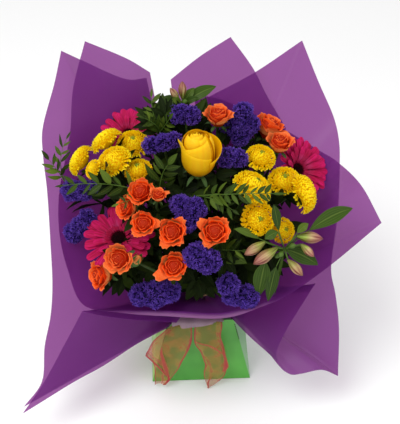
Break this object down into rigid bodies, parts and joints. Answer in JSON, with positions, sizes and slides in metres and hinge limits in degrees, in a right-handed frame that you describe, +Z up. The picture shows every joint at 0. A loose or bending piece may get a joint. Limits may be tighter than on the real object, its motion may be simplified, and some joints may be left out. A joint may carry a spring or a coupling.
{
  "type": "mixed flower bouquet in a vase",
  "caption": "Hand-tied bouquet of roses, gerberas, chrysanthemums and statice, wrapped in flared purple film with a ribbon bow and standing in a folded card vase.",
  "frame": {"origin": "centre of the card vase's base, on the surface that it stands on", "axes": "+Z up, front of the bouquet towards -Y, +X to the right when seen from the front"},
  "size_m": [0.5304, 0.4008, 0.5181],
  "materials": {
    "card": "coated green card",
    "water_bag": "clear bag of water",
    "twine": "twisted raffia",
    "film": "frosted translucent film",
    "ribbon": "sheer woven ribbon",
    "gerbera_petals": "soft petal",
    "gerbera_disc": "dark florets",
    "yellow_rose": "velvety petal",
    "spray_rose": "velvety petal",
    "chrysanthemum": "soft florets",
    "statice": "papery florets",
    "alstroemeria": "waxy buds and leaves",
    "foliage": "leaf",
    "stems": "cut stems"
  },
  "bodies": {
    "root": {"card_vase": "card", "water_bag": "water_bag", "binding_twine": "twine", "film_inner": "film", "film_left": "film", "film_back": "film", "film_right": "film", "film_wing_left": "film", "film_wing_right": "film", "film_tongue": "film", "ribbon_bow": "ribbon", "gerbera_petals_front": "gerbera_petals", "gerbera_disc_front": "gerbera_disc", "gerbera_petals_back": "gerbera_petals", "gerbera_disc_back": "gerbera_disc", "gerbera_petals_right": "gerbera_petals", "gerbera_disc_right": "gerbera_disc", "yellow_rose_centre": "yellow_rose", "spray_rose_a": "spray_rose", "spray_rose_b": "spray_rose", "spray_rose_c": "spray_rose", "spray_rose_d": "spray_rose", "spray_rose_e": "spray_rose", "spray_rose_f": "spray_rose", "spray_rose_g": "spray_rose", "spray_rose_h": "spray_rose", "spray_rose_i": "spray_rose", "spray_rose_j": "spray_rose", "spray_rose_k": "spray_rose", "spray_rose_l": "spray_rose", "chrysanthemum_a": "chrysanthemum", "chrysanthemum_b": "chrysanthemum", "chrysanthemum_c": "chrysanthemum", "chrysanthemum_d": "chrysanthemum", "chrysanthemum_e": "chrysanthemum", "chrysanthemum_f": "chrysanthemum", "chrysanthemum_g": "chrysanthemum", "chrysanthemum_h": "chrysanthemum", "chrysanthemum_i": "chrysanthemum", "chrysanthemum_j": "chrysanthemum", "chrysanthemum_k": "chrysanthemum", "chrysanthemum_l": "chrysanthemum", "statice_a": "statice", "statice_b": "statice", "statice_c": "statice", "statice_d": "statice", "statice_e": "statice", "statice_f": "statice", "statice_g": "statice", "statice_h": "statice", "statice_i": "statice", "statice_j": "statice", "alstroemeria_front": "alstroemeria", "alstroemeria_top": "alstroemeria", "greens_left": "foliage", "greens_tips": "foliage", "greens_back": "foliage", "greens_right": "foliage", "greens_low": "foliage", "stems": "stems"}
  },
  "joints": []
}
